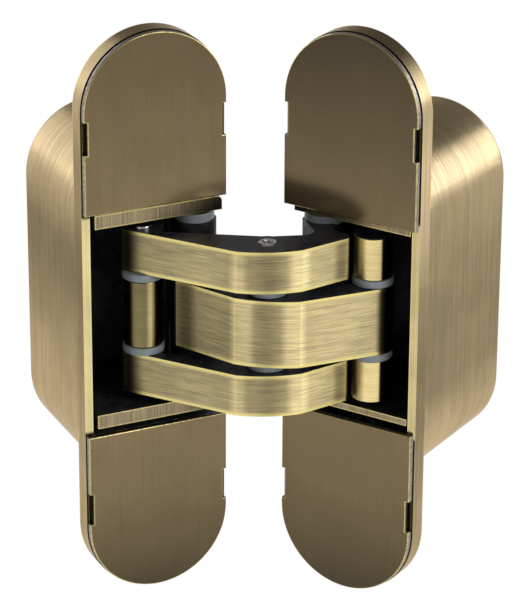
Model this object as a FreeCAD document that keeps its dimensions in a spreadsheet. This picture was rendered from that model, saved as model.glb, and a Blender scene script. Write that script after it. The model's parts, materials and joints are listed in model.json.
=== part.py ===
import FreeCAD, Part
import math
import os

import Sketcher
from FreeCAD import Placement, Rotation, Vector

# Concealed door hinge with seven upright pins, 111 mm tall, shown about 122 degrees open.
# Row frame: the origin is the centre of the left flange's rear face, which rests in the leaf's recess.
# +X points to the plate's inner edge, +Y into the leaf and +Z up. Plan places in the sheet are taken
# from the left plate's inner edge and from its front face. Lengths are millimetres, angles are degrees.
SIZES = {
    # plates and housings
    "plate_height": 111.0,
    "plate_width": 28.5,
    "flange_thickness": 3.8,
    "housing_height": 69.0,
    "housing_draft": 1.0,
    "left_housing_depth": 30.3,
    "right_housing_depth": 34.0,
    "wall": 1.5,
    "back_wall": 2.0,
    "back_rounding": 2.0,
    "window_half_height": 22.0,
    "side_opening_depth": 9.0,
    # wood screw holes, two above and two below the window
    "inner_screw_height": 39.5,
    "outer_screw_height": 49.0,
    "screw_hole_radius": 2.2,
    "screw_head_radius": 4.1,
    "countersink_angle": 90.0,
    # covers
    "cover_thickness": 1.1,
    "cover_inset": 0.15,
    "left_cover_start": 22.0,
    "right_cover_start": 20.2,
    "notch_low": 33.8,
    "notch_high": 40.0,
    "notch_depth": 0.8,
    "peg_radius": 1.4,
    "peg_length": 2.6,
    "peg_offset": 10.0,
    "low_peg_height": 30.0,
    "high_peg_height": 44.5,
    "peg_clearance": 0.1,
    # carriages
    "left_carriage_start": 0.95,
    "right_carriage_start": 1.8,
    "left_carriage_clearance": 0.65,
    "right_carriage_clearance": 0.35,
    "left_carriage_front": -0.8,
    "right_carriage_front": 0.1,
    "left_carriage_back": 24.5,
    "right_carriage_back": 27.0,
    "carriage_plate": 2.7,
    "carriage_web": 1.5,
    "web_start": 7.0,
    "shoulder_depth": 7.6,
    "shoulder_inset": 2.0,
    "lip_thickness": 1.3,
    "lip_depth": 2.5,
    "corner_rounding": 1.0,
    # ears and clamp screws
    "ear_front": 9.0,
    "ear_thickness": 2.4,
    "ear_half_width": 5.5,
    "ear_height": 9.1,
    "clamp_height": 25.6,
    "clamp_radius": 1.9,
    "clamp_head_radius": 3.0,
    "clamp_head_height": 2.6,
    "clamp_length": 11.0,
    "slot_radius": 2.1,
    "slot_travel": 1.45,
    "boss_radius": 3.3,
    "access_radius": 3.5,
    # stack of arms, washers and plates, measured from its own middle
    "stack_rise": 0.66,
    "middle_half_height": 6.55,
    "washer_thickness": 1.5,
    "pivot_washer_thickness": 1.85,
    "prong_height": 8.1,
    "barrel_sink": 0.65,
    "left_pivot_boss": 1.0,
    "right_pivot_boss": 0.65,
    "play": 0.05,
    # pivots seen from above
    "left_pivot_x": -4.18,
    "left_pivot_y": 4.48,
    "centre_x": 1.97,
    "centre_y": -14.21,
    "left_joint_x": -15.53,
    "left_joint_y": 2.59,
    "right_joint_x": 21.67,
    "right_joint_y": -18.03,
    "left_anchor_x": -7.94,
    "left_anchor_y": 10.94,
    "right_plate_angle": 58.35,
    "right_inner_x": 9.44,
    "right_inner_y": -5.04,
    "right_pivot_across": 5.51,
    "right_pivot_deep": 5.83,
    "right_anchor_across": 10.23,
    "right_anchor_deep": 11.61,
    # arms and links
    "barrel_radius": 4.1,
    "joint_eye_radius": 3.9,
    "middle_pivot_reach": 8.86,
    "middle_near_reach": 6.17,
    "middle_far_reach": 6.67,
    "middle_eye_reach": 3.9,
    "middle_inner_reach": 5.5,
    "middle_eye_back": 1.5,
    "middle_heel_shift": 2.0,
    "outer_pivot_reach": 11.48,
    "outer_near_reach": 6.7,
    "outer_far_reach": 6.7,
    "outer_eye_reach": 2.78,
    "outer_inner_reach": 9.0,
    "outer_eye_back": -2.0,
    "outer_heel_shift": 2.35,
    "centre_back": 3.0,
    "bend_length": 7.1,
    "bend_crown": 0.87,
    "riser_width": 5.6,
    "heel_rounding": 1.2,
    "inner_rounding": 2.0,
    "right_closing_turn": 69.23,
    "nest_clearance": 0.3,
    "centre_boss_radius": 3.3,
    "link_eye_radius": 3.65,
    "anchor_eye_radius": 2.75,
    "link_half_width": 2.2,
    "link_bow": 1.8,
    # pins, bushes and washers
    "pivot_pin_radius": 1.9,
    "centre_pin_radius": 1.95,
    "joint_pin_radius": 1.8,
    "anchor_pin_radius": 1.7,
    "bush_wall": 0.55,
    "bush_length": 6.0,
    "running_clearance": 0.04,
    "washer_radius": 3.75,
    "washer_clearance": 0.12,
    "centre_pin_proud": 0.2,
    "centre_pin_socket": 0.95,
    "socket_depth": 2.5,
    "left_joint_pin_proud": 0.9,
    "right_joint_pin_sink": 0.7,
    "pin_chamfer": 0.35,
    "anchor_swing": 1.7,
    "left_anchor_hole_shift_x": -0.85,
    "left_anchor_hole_shift_y": 0.72,
    "right_anchor_hole_shift_x": 0.7,
    "right_anchor_hole_shift_y": 0.55,
    # dark stop pad inside the right carriage
    "pad_height": 13.0,
    "pad_depth": 6.0,
    "pad_thickness": 0.5,
    "pad_recess": 0.9,
    # edges, and how far a cut runs past what it cuts
    "edge_break": 0.3,
    "overshoot": 1.0,
}

# Two coordinates closer than this are the same.
SAME = 1e-4

doc = FreeCAD.newDocument("ConcealedHinge")
sheet = doc.addObject("Spreadsheet::Sheet", "Sizes")
for row, (alias, value) in enumerate(SIZES.items(), start=1):
    sheet.set(f"A{row}", alias.replace("_", " "))
    sheet.set(f"B{row}", str(value))
    sheet.setAlias(f"B{row}", alias)
doc.recompute()


def size(alias):
    return float(sheet.get(alias))


# Derived places, worked out once from the sheet.
half_width = size("plate_width") / 2
half_height = size("plate_height") / 2
rise = size("stack_rise")
fold = math.radians(size("right_plate_angle"))
outward = Vector(math.cos(fold), -math.sin(fold), 0)
inward = Vector(math.sin(fold), math.cos(fold), 0)
left_place = Placement(Vector(0, -size("flange_thickness"), 0), Rotation())


def plan_point(name):
    """A plan point that the sheet gives from the left plate's inner edge and front face."""
    return Vector(half_width + size(f"{name}_x"), size(f"{name}_y"), 0)


right_edge = plan_point("right_inner")
right_seat = right_edge + outward * half_width + inward * size("cover_thickness")
right_from_left = Placement(right_seat, Rotation(Vector(0, 0, 1), -size("right_plate_angle")))
right_place = left_place.multiply(right_from_left)


def right_point(across, deep):
    """A plan point given across the right plate from its inner edge and deep from its covers."""
    return right_edge + outward * across + inward * deep


left_pivot = plan_point("left_pivot")
right_pivot = right_point(size("right_pivot_across"), size("right_pivot_deep"))
centre = plan_point("centre")
left_joint = plan_point("left_joint")
right_joint = plan_point("right_joint")
left_anchor = plan_point("left_anchor")
right_anchor = right_point(size("right_anchor_across"), size("right_anchor_deep"))

# Levels of the stack above its middle.
middle_top = size("middle_half_height")
prong_bottom = middle_top + size("washer_thickness") + 2 * size("play")
prong_top = prong_bottom + size("prong_height")
barrel_top = prong_top - size("barrel_sink")
boss_face = barrel_top + size("pivot_washer_thickness") + 2 * size("play")


def plate_levels(side):
    """Inner and outer face of one carriage's plates, above the boss that each has at the pivot."""
    bottom = boss_face + size(f"{side}_pivot_boss")
    return bottom, bottom + size("carriage_plate")


def new_body(label):
    body = doc.addObject("PartDesign::Body", label)
    body.Label = label
    return body


def new_sketch(body, name, role, offset=0.0):
    """A sketch on one of the body's own planes, shifted along that plane's normal."""
    plane = next(item for item in body.Origin.OriginFeatures if item.Role == role)
    sketch = body.newObject("Sketcher::SketchObject", name)
    sketch.AttachmentSupport = [(plane, "")]
    sketch.MapMode = "FlatFace"
    sketch.AttachmentOffset = Placement(Vector(0, 0, offset), Rotation())
    return sketch


def add_loop(sketch, segments):
    """Lines (start, end) and arcs (start, middle, end) that follow one another."""
    for points in segments:
        corners = [Vector(point[0], point[1], 0) for point in points]
        if len(corners) == 2:
            sketch.addGeometry(Part.LineSegment(*corners), False)
        else:
            sketch.addGeometry(Part.Arc(*corners), False)


def add_polygon(sketch, corners):
    closed = list(corners) + [corners[0]]
    add_loop(sketch, list(zip(closed[:-1], closed[1:])))


def add_circle(sketch, x, y, expression):
    """A circle whose radius is bound to the sheet."""
    index = sketch.addGeometry(Part.Circle(Vector(x, y, 0), Vector(0, 0, 1), 1.0), False)
    rule = sketch.addConstraint(Sketcher.Constraint("Radius", index, 1.0))
    sketch.renameConstraint(rule, f"radius_{index}")
    sketch.setExpression(f"Constraints.radius_{index}", expression)


def add_slot(sketch, level, upright):
    """A clamp slot with round ends, upright in the left ears and level in the right ones."""
    travel, radius = size("slot_travel"), size("slot_radius")

    def place(along, across):
        return (across, level + along) if upright else (along, level + across)

    add_loop(sketch, [
        (place(-travel, -radius), place(travel, -radius)),
        (place(travel, -radius), place(travel + radius, 0), place(travel, radius)),
        (place(travel, radius), place(-travel, radius)),
        (place(-travel, radius), place(-travel - radius, 0), place(-travel, -radius)),
    ])


def add_stadium(sketch, half_across, half_tall):
    straight = half_tall - half_across
    add_loop(sketch, [
        ((-half_across, -straight), (-half_across, straight)),
        ((-half_across, straight), (0, half_tall), (half_across, straight)),
        ((half_across, straight), (half_across, -straight)),
        ((half_across, -straight), (0, -half_tall), (-half_across, -straight)),
    ])


def extrude(body, kind, name, sketch, length, away=False, both=False, draft=None):
    """A Pad or Pocket whose length is an expression in the sheet's names."""
    feature = body.newObject(f"PartDesign::{kind}", name)
    feature.Profile = sketch
    feature.setExpression("Length", length)
    feature.Reversed = away
    feature.Midplane = both
    if draft is not None:
        feature.setExpression("TaperAngle", draft)
    body.Tip = feature
    doc.recompute()
    return feature


def flat_edges(feature, axis, level):
    """Names of the edges that lie in the plane where the given coordinate equals level."""
    names = []
    for number, edge in enumerate(feature.Shape.Edges, start=1):
        box = edge.BoundBox
        low, high = getattr(box, f"{axis}Min"), getattr(box, f"{axis}Max")
        if abs(low - level) < SAME and abs(high - level) < SAME:
            names.append(f"Edge{number}")
    return names


def dress(body, kind, name, base, edges, expression):
    """A Fillet or Chamfer on the named edges of the body's last feature."""
    feature = body.newObject(f"PartDesign::{kind}", name)
    feature.Base = (base, edges)
    feature.setExpression("Radius" if kind == "Fillet" else "Size", expression)
    body.Tip = feature
    doc.recompute()
    return feature


def set_on_stack(item, point=None):
    """Put a piece of the stack at the stack's middle, over a plan point if one is given."""
    spot = point or Vector(0, 0, 0)
    item.Placement = left_place.multiply(Placement(Vector(spot.x, spot.y, rise), Rotation()))
    item.setExpression("Placement.Base.z", "Sizes.stack_rise")


# Housings: a drafted round-ended shell behind a longer flange, with a window open at the inner side.
def make_housing(label, inner, depth_name, place):
    """inner is +1 where the inner edge lies towards +X and -1 where it lies towards -X."""
    body = new_body(label)
    flange = new_sketch(body, f"{label}_flange_outline", "XZ_Plane")
    add_stadium(flange, half_width, half_height)
    extrude(body, "Pad", f"{label}_flange", flange, "Sizes.flange_thickness", away=True)

    shell = new_sketch(body, f"{label}_shell_outline", "XZ_Plane")
    add_stadium(shell, half_width, size("housing_height") / 2)
    solid = extrude(body, "Pad", f"{label}_shell", shell, f"Sizes.{depth_name}", away=True,
                    draft="-Sizes.housing_draft")
    rounded = dress(body, "Fillet", f"{label}_back_rounding", solid,
                    flat_edges(solid, "Y", size(depth_name)), "Sizes.back_rounding")
    dress(body, "Chamfer", f"{label}_front_edge", rounded, flat_edges(rounded, "Y", 0.0),
          "Sizes.edge_break")

    window = new_sketch(body, f"{label}_window_outline", "XZ_Plane")
    rail = -inner * (half_width - size("wall"))
    beyond = inner * (half_width + size("overshoot"))
    tall = size("window_half_height")
    add_polygon(window, [(rail, -tall), (beyond, -tall), (beyond, tall), (rail, tall)])
    extrude(body, "Pocket", f"{label}_window", window, "Sizes.side_opening_depth")

    hollow = new_sketch(body, f"{label}_hollow_outline", "XZ_Plane", -size("flange_thickness"))
    add_stadium(hollow, half_width - size("wall"), size("housing_height") / 2 - size("wall"))
    extrude(body, "Pocket", f"{label}_hollow", hollow,
            f"Sizes.{depth_name} - Sizes.flange_thickness - Sizes.back_wall")

    boss_front = size("ear_front") + size("ear_thickness") + 2 * size("play")
    bosses = new_sketch(body, f"{label}_boss_outline", "XZ_Plane", -boss_front)
    for side in (-1, 1):
        add_circle(bosses, 0, side * size("clamp_height"), "Sizes.boss_radius")
    extrude(body, "Pad", f"{label}_bosses", bosses,
            f"Sizes.{depth_name} - {boss_front} - Sizes.back_wall / 2", away=True)

    bores = new_sketch(body, f"{label}_clamp_bores", "XZ_Plane")
    access = new_sketch(body, f"{label}_access_outline", "XZ_Plane")
    for side in (-1, 1):
        add_circle(bores, 0, side * size("clamp_height"), "Sizes.clamp_radius")
        add_circle(access, 0, side * size("clamp_height"), "Sizes.access_radius")
    extrude(body, "Pocket", f"{label}_clamp_bore", bores,
            "Sizes.ear_front + Sizes.clamp_length + Sizes.overshoot")
    extrude(body, "Pocket", f"{label}_access_holes", access, "Sizes.flange_thickness")

    pegs = new_sketch(body, f"{label}_peg_hole_outline", "XZ_Plane")
    for x, z in peg_places():
        for side in (-1, 1):
            add_circle(pegs, x, side * z, "Sizes.peg_radius + Sizes.peg_clearance")
    extrude(body, "Pocket", f"{label}_peg_holes", pegs,
            "Sizes.peg_length + 2 * Sizes.peg_clearance")

    spots = new_sketch(body, f"{label}_screw_places", "XZ_Plane")
    for side in (-1, 1):
        for height in ("inner_screw_height", "outer_screw_height"):
            add_circle(spots, 0, side * size(height), "Sizes.screw_hole_radius")
    doc.recompute()
    holes = body.newObject("PartDesign::Hole", f"{label}_screw_holes")
    holes.Profile = spots
    holes.DepthType = "ThroughAll"
    holes.HoleCutType = "Countersink"
    holes.setExpression("Diameter", "2 * Sizes.screw_hole_radius")
    holes.setExpression("HoleCutDiameter", "2 * Sizes.screw_head_radius")
    holes.setExpression("HoleCutCountersinkAngle", "Sizes.countersink_angle")
    body.Tip = holes
    body.Placement = place
    return body


def peg_places():
    """Plan of the pegs behind one cover, as distances across and up from the plate's middle."""
    return [(side * size("peg_offset"), size(height))
            for side in (-1, 1) for height in ("low_peg_height", "high_peg_height")]


# Covers: thin round-ended caps with a pry notch in each long edge and four pegs behind.
def make_cover(label, up, start_name, place):
    """up is +1 for the cover above the window and -1 for the one below."""
    body = new_body(label)
    across = half_width - size("cover_inset")
    end = half_height - size("cover_inset")
    straight = end - across
    start = size(start_name)
    face = new_sketch(body, f"{label}_outline", "XZ_Plane")
    add_loop(face, [
        ((-across, up * start), (-across, up * straight)),
        ((-across, up * straight), (0, up * end), (across, up * straight)),
        ((across, up * straight), (across, up * start)),
        ((across, up * start), (-across, up * start)),
    ])
    plate = extrude(body, "Pad", f"{label}_plate", face, "Sizes.cover_thickness")
    dress(body, "Fillet", f"{label}_edge", plate,
          flat_edges(plate, "Y", -size("cover_thickness")), "Sizes.edge_break")
    notches = new_sketch(body, f"{label}_notch_outline", "XZ_Plane")
    low, high = up * size("notch_low"), up * size("notch_high")
    for side in (-1, 1):
        deep = side * (across - size("notch_depth"))
        past = side * (across + size("overshoot"))
        add_polygon(notches, [(deep, low), (past, low), (past, high), (deep, high)])
    extrude(body, "Pocket", f"{label}_notches", notches, "4 * Sizes.cover_thickness", both=True)
    pegs = new_sketch(body, f"{label}_peg_outline", "XZ_Plane")
    for x, z in peg_places():
        add_circle(pegs, x, up * z, "Sizes.peg_radius")
    extrude(body, "Pad", f"{label}_pegs", pegs, "Sizes.peg_length", away=True)
    body.Placement = place
    return body


# Carriages: two plates joined by a back web and an outer web, with a slotted ear above and below.
def carriage_far(side):
    """How far the outer web's outside lies from the plate's middle, clear of the housing's wall."""
    return half_width - size("wall") - size(f"{side}_carriage_clearance")


def carriage_outline(inner, side, front, back):
    """Plan of one plate. Its inner side steps in behind the open side of the housing."""
    near = inner * (half_width - size(f"{side}_carriage_start"))
    far = -inner * carriage_far(side)
    step = near - inner * size("shoulder_inset")
    shoulder = size("shoulder_depth")
    return [(near, front), (near, shoulder), (step, shoulder), (step, back), (far, back), (far, front)]


def make_carriage(label, inner, side, pivot, anchor_hole, upright, place):
    plate_bottom, plate_top = plate_levels(side)
    front = size(f"{side}_carriage_front")
    back = size(f"{side}_carriage_back")
    body = new_body(label)
    plan = new_sketch(body, f"{label}_plan", "XY_Plane")
    outline = carriage_outline(inner, side, front, back)
    add_polygon(plan, outline)
    block = extrude(body, "Pad", f"{label}_block", plan, f"2 * {plate_top}", both=True)
    near, far = outline[0][0], outline[-1][0]
    corners = [f"Edge{number}" for number, edge in enumerate(block.Shape.Edges, start=1)
               if edge.BoundBox.YLength > SAME and edge.BoundBox.YMin < front + SAME
               and abs(edge.BoundBox.Center.x - near) < SAME]
    dress(body, "Fillet", f"{label}_corners", block, corners, "Sizes.corner_rounding")

    web = far + inner * size("carriage_web")
    over = size("overshoot")
    past = near + inner * over
    outside = far - inner * over
    ahead = front - over
    inside_back = back - size("carriage_web")
    room = new_sketch(body, f"{label}_room_outline", "XY_Plane")
    add_polygon(room, [(outside, ahead), (past, ahead), (past, inside_back),
                       (web, inside_back), (web, size("web_start")), (outside, size("web_start"))])
    extrude(body, "Pocket", f"{label}_room", room, f"2 * {plate_bottom}", both=True)
    if side == "right":
        rebate = new_sketch(body, f"{label}_rebate_outline", "YZ_Plane")
        depth = front + size("lip_depth")
        for way in (-1, 1):
            low, high = way * (plate_bottom + size("lip_thickness")), way * (plate_top + over)
            add_polygon(rebate, [(ahead, low), (depth, low), (depth, high), (ahead, high)])
        extrude(body, "Pocket", f"{label}_rebate", rebate, "2 * Sizes.plate_width", both=True)
        recess = new_sketch(body, f"{label}_recess_outline", "YZ_Plane", web)
        tall = middle_top + size("nest_clearance")
        shallow, deep = size("web_start") - over, size("web_start") + size("pad_depth") + size("play")
        add_polygon(recess, [(shallow, -tall), (deep, -tall), (deep, tall), (shallow, tall)])
        extrude(body, "Pocket", f"{label}_recess", recess, "Sizes.pad_recess", away=True)

    ears = new_sketch(body, f"{label}_ear_outline", "XZ_Plane", -size("ear_front"))
    wide = size("ear_half_width")
    for way in (-1, 1):
        low, high = way * (plate_top - over), way * (plate_top + size("ear_height"))
        add_polygon(ears, [(-wide, low), (wide, low), (wide, high), (-wide, high)])
    extrude(body, "Pad", f"{label}_ears", ears, "Sizes.ear_thickness", away=True)
    slots = new_sketch(body, f"{label}_slot_outline", "XZ_Plane", over - size("ear_front"))
    for way in (-1, 1):
        add_slot(slots, way * size("clamp_height") - rise, upright)
    extrude(body, "Pocket", f"{label}_slots", slots, "Sizes.ear_thickness + 2 * Sizes.overshoot")

    for way, word in ((1, "upper"), (-1, "lower")):
        boss = new_sketch(body, f"{label}_{word}_boss_outline", "XY_Plane", way * plate_bottom)
        add_circle(boss, pivot[0], pivot[1], "Sizes.washer_radius")
        extrude(body, "Pad", f"{label}_{word}_boss", boss, f"Sizes.{side}_pivot_boss", away=way > 0)

    pin_holes = new_sketch(body, f"{label}_pin_holes_outline", "XY_Plane")
    add_circle(pin_holes, pivot[0], pivot[1], "Sizes.pivot_pin_radius")
    add_circle(pin_holes, anchor_hole[0], anchor_hole[1],
               "Sizes.anchor_pin_radius + Sizes.anchor_swing")
    extrude(body, "Pocket", f"{label}_pin_holes", pin_holes,
            f"2 * {plate_top} + 2 * Sizes.overshoot", both=True)
    body.Placement = place.multiply(Placement(Vector(0, 0, rise), Rotation()))
    return body


# Arms: a band between a barrel and an eye, with its bend at the centre pin.
def unit(vector):
    return vector / vector.Length


def across_left(vector):
    """The direction a quarter turn to the left of the given one, seen from above."""
    return Vector(-vector.y, vector.x, 0)


def tangent_line(first, first_radius, second, second_radius, side):
    """Ends of the line that touches two circles on the same side; side is +1 for left."""
    along = unit(second - first)
    lean = math.asin((first_radius - second_radius) / (second - first).Length)
    normal = across_left(along) * (side * math.cos(lean)) + along * math.sin(lean)
    return first + normal * first_radius, second + normal * second_radius


def crossing(first, first_way, second, second_way):
    """Where two lines, each given by a point and a direction, cross."""
    cross = first_way.x * second_way.y - first_way.y * second_way.x
    gap = second - first
    reach = (gap.x * second_way.y - gap.y * second_way.x) / cross
    return first + first_way * reach


def rounded_corner(before, corner, after, radius):
    """Start, middle and end of the arc that rounds a corner."""
    back, ahead = unit(before - corner), unit(after - corner)
    half = math.acos(back.dot(ahead)) / 2
    reach = radius / math.tan(half)
    middle_way = unit(back + ahead)
    heart = corner + middle_way * (radius / math.sin(half))
    return corner + back * reach, heart - middle_way * radius, corner + ahead * reach


def half_chord(radius, distance):
    """Half the length that a circle cuts from a line at the given distance from its centre."""
    return math.sqrt(max(radius ** 2 - distance ** 2, 0.0))


def band_outline(arm, pivot, bend, eye, side):
    """The arm's band: a heel in front of the barrel, flats on both sides of a crowned bend, a round
    eye cut by the front flat, and a back that steps in beside the barrel."""
    def flat(first, first_reach, second, second_reach, way=side):
        return tangent_line(first, first_reach, second, second_reach, way)

    near_a, near_b = flat(pivot, size(f"{arm}_pivot_reach"), bend, size(f"{arm}_near_reach"))
    far_a, far_b = flat(bend, size(f"{arm}_far_reach"), eye, size(f"{arm}_eye_reach"))
    corner = crossing(near_a, near_b - near_a, far_b, far_a - far_b)
    near_crease = corner + unit(near_a - corner) * size("bend_length")
    far_crease = corner + unit(far_b - corner) * size("bend_length")
    chord = (near_crease + far_crease) / 2
    crown = chord + unit(corner - chord) * size("bend_crown")
    heel = near_a + unit(near_b - near_a) * size(f"{arm}_heel_shift")
    heel_arc = rounded_corner(pivot, heel, near_crease, size("heel_rounding"))

    back_a, back_b = flat(pivot, size(f"{arm}_inner_reach"), bend, -size("centre_back"))
    back_c, back_d = flat(bend, -size("centre_back"), eye, -size(f"{arm}_eye_back"))
    back_corner = crossing(back_a, back_b - back_a, back_d, back_c - back_d)
    riser_a, riser_b = flat(pivot, size("barrel_radius"), heel, size("riser_width"), -side)
    inner_corner = crossing(riser_a, riser_b - riser_a, back_b, back_a - back_b)
    back_arc = rounded_corner(back_d, back_corner, inner_corner, size("inner_rounding"))
    inner_arc = rounded_corner(back_corner, inner_corner, riser_a, size("inner_rounding"))

    radius = size("joint_eye_radius")
    front_leave = far_b + unit(far_b - far_a) * half_chord(radius, size(f"{arm}_eye_reach"))
    back_enter = back_d + unit(back_c - back_d) * half_chord(radius, size(f"{arm}_eye_back"))
    tip = eye + unit(eye - bend) * radius
    return [(pivot, heel_arc[0]), heel_arc, (heel_arc[2], near_crease),
            (near_crease, crown, far_crease), (far_crease, front_leave),
            (front_leave, tip, back_enter), (back_enter, back_arc[0]), back_arc,
            (back_arc[2], inner_arc[0]), inner_arc, (inner_arc[2], riser_a), (riser_a, pivot)]


def add_cylinder(body, name, point, radius, length):
    sketch = new_sketch(body, f"{name}_outline", "XY_Plane")
    add_circle(sketch, point.x, point.y, radius)
    return extrude(body, "Pad", name, sketch, length, both=True)


def add_bore(body, name, places, length):
    """Bores through the stack; places pairs each plan point with its radius."""
    sketch = new_sketch(body, f"{name}_outline", "XY_Plane")
    for point, radius in places:
        add_circle(sketch, point.x, point.y, radius)
    return extrude(body, "Pocket", name, sketch, length, both=True)


BUSH = "Sizes.bush_wall + Sizes.running_clearance"


def make_middle_arm():
    body = new_body("middle_arm")
    band = new_sketch(body, "middle_band_outline", "XY_Plane")
    add_loop(band, band_outline("middle", left_pivot, centre, right_joint, -1))
    tall = "2 * Sizes.middle_half_height"
    extrude(body, "Pad", "middle_band", band, tall, both=True)
    add_cylinder(body, "middle_boss", centre, "Sizes.centre_boss_radius", tall)
    add_cylinder(body, "middle_barrel", left_pivot, "Sizes.barrel_radius", f"2 * {barrel_top}")
    add_bore(body, "middle_bores", [
        (left_pivot, f"Sizes.pivot_pin_radius + {BUSH}"),
        (centre, f"Sizes.centre_pin_radius + {BUSH}"),
        (right_joint, "Sizes.joint_pin_radius"),
    ], f"2 * {prong_top} + 2 * Sizes.overshoot")
    set_on_stack(body)
    return body


def make_outer_arm():
    body = new_body("outer_arm")
    band = new_sketch(body, "outer_band_outline", "XY_Plane")
    add_loop(band, band_outline("outer", right_pivot, centre, left_joint, 1))
    tall = f"2 * {prong_top}"
    extrude(body, "Pad", "outer_band", band, tall, both=True)
    add_cylinder(body, "outer_boss", centre, "Sizes.centre_boss_radius", tall)
    gap = new_sketch(body, "outer_gap_outline", "XY_Plane")
    spread = (centre - left_joint).Length + half_width
    add_polygon(gap, [(centre.x - spread, centre.y - spread), (centre.x + spread, centre.y - spread),
                      (centre.x + spread, centre.y + spread), (centre.x - spread, centre.y + spread)])
    extrude(body, "Pocket", "outer_gap", gap, f"2 * {prong_bottom}", both=True)
    nest = new_sketch(body, "outer_nest_outline", "XY_Plane")
    turn = Rotation(Vector(0, 0, 1), -size("right_closing_turn"))
    spot = right_pivot + turn.multVec(right_anchor - right_pivot)
    add_circle(nest, spot.x, spot.y, "Sizes.anchor_eye_radius + Sizes.nest_clearance")
    extrude(body, "Pocket", "outer_nest", nest, f"{tall} + 2 * Sizes.overshoot", both=True)
    for way, word in ((1, "upper"), (-1, "lower")):
        step = new_sketch(body, f"outer_{word}_step_outline", "XY_Plane", way * barrel_top)
        add_circle(step, right_pivot.x, right_pivot.y, "Sizes.barrel_radius")
        extrude(body, "Pocket", f"outer_{word}_step", step, "Sizes.barrel_sink + Sizes.overshoot",
                away=way > 0)
    add_cylinder(body, "outer_barrel", right_pivot, "Sizes.barrel_radius", f"2 * {barrel_top}")
    add_bore(body, "outer_bores", [
        (right_pivot, f"Sizes.pivot_pin_radius + {BUSH}"),
        (centre, "Sizes.centre_pin_radius"),
        (left_joint, "Sizes.joint_pin_radius"),
    ], f"2 * {prong_top} + 2 * Sizes.overshoot")
    set_on_stack(body)
    return body


# Links: a bowed bar between the joint pin's eye and the anchor pin's eye.
def bar_outline(start, end, bow):
    """A bar of constant width whose middle is pushed aside by bow, to the left when positive."""
    half = size("link_half_width")
    along = unit(end - start)
    aside = across_left(along)
    middle = (start + end) / 2 + aside * bow
    return [
        (start + aside * half, middle + aside * half, end + aside * half),
        (end + aside * half, end - aside * half),
        (end - aside * half, middle - aside * half, start - aside * half),
        (start - aside * half, start + aside * half),
    ]


def make_left_link():
    body = new_body("left_link")
    tall = "2 * Sizes.middle_half_height"
    bar = new_sketch(body, "left_bar_outline", "XY_Plane")
    add_loop(bar, bar_outline(left_joint, left_anchor, size("link_bow")))
    extrude(body, "Pad", "left_bar", bar, tall, both=True)
    add_cylinder(body, "left_link_eye", left_joint, "Sizes.link_eye_radius", tall)
    add_cylinder(body, "left_anchor_eye", left_anchor, "Sizes.anchor_eye_radius", tall)
    add_bore(body, "left_link_bores", [
        (left_joint, f"Sizes.joint_pin_radius + {BUSH}"),
        (left_anchor, "Sizes.anchor_pin_radius"),
    ], f"{tall} + 2 * Sizes.overshoot")
    set_on_stack(body)
    return body


def make_right_link():
    body = new_body("right_link")
    tall = f"2 * {prong_top}"
    bar = new_sketch(body, "right_bar_outline", "XY_Plane")
    add_loop(bar, bar_outline(right_joint, right_anchor, -size("link_bow")))
    extrude(body, "Pad", "right_bar", bar, tall, both=True)
    add_cylinder(body, "right_link_eye", right_joint, "Sizes.link_eye_radius", tall)
    gap = new_sketch(body, "right_link_gap_outline", "XY_Plane")
    spread = (right_anchor - right_joint).Length + size("link_eye_radius")
    add_polygon(gap, [(right_joint.x - spread, right_joint.y - spread),
                      (right_joint.x + spread, right_joint.y - spread),
                      (right_joint.x + spread, right_joint.y + spread),
                      (right_joint.x - spread, right_joint.y + spread)])
    extrude(body, "Pocket", "right_link_gap", gap, f"2 * {prong_bottom}", both=True)
    add_cylinder(body, "right_anchor_eye", right_anchor, "Sizes.anchor_eye_radius", tall)
    add_bore(body, "right_link_bores", [
        (right_joint, f"Sizes.joint_pin_radius + {BUSH}"),
        (right_anchor, "Sizes.anchor_pin_radius"),
    ], f"{tall} + 2 * Sizes.overshoot")
    set_on_stack(body)
    return body


# Pins: turned rods with chamfered ends, and a socket in each end where the pin is hollow.
def make_pin(label, point, radius_name, half, socket=None):
    body = new_body(label)
    radius = size(radius_name)
    edge = size("pin_chamfer")
    profile = new_sketch(body, f"{label}_profile", "XZ_Plane")
    if socket is None:
        ends = [(0, -half), (radius - edge, -half)], [(radius - edge, half), (0, half)]
    else:
        floor = half - size("socket_depth")
        ends = ([(0, -floor), (socket, -floor), (socket, -half), (radius - edge, -half)],
                [(radius - edge, half), (socket, half), (socket, floor), (0, floor)])
    add_polygon(profile, ends[0] + [(radius, edge - half), (radius, half - edge)] + ends[1])
    turned = body.newObject("PartDesign::Revolution", f"{label}_turned")
    turned.Profile = profile
    turned.ReferenceAxis = (profile, ["V_Axis"])
    turned.Angle = 360
    body.Tip = turned
    set_on_stack(body, point)
    return body


# Washers and bushes: rings in groups, one solid for each place on a pin.
def make_rings(label, point, bottoms, thickness, outer, bore):
    """Rings over a plan point; bottoms lists the level of each ring's lower face."""
    rings = []
    for number, level in enumerate(bottoms, start=1):
        disc = doc.addObject("Part::Cylinder", f"{label}_disc_{number}")
        hole = doc.addObject("Part::Cylinder", f"{label}_hole_{number}")
        for item, radius in ((disc, outer), (hole, bore)):
            item.setExpression("Radius", radius)
            item.setExpression("Height", thickness)
            item.Placement = Placement(Vector(0, 0, level), Rotation())
        ring = doc.addObject("Part::Cut", f"{label}_ring_{number}")
        ring.Base = disc
        ring.Tool = hole
        rings.append(ring)
    group = doc.addObject("Part::Compound", label)
    group.Label = label
    group.Links = rings
    set_on_stack(group, point)
    return group


def both_ways(level, thickness):
    """Lower faces of a ring at a level and of its mirror image below the middle."""
    return [level, -level - thickness]


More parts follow.
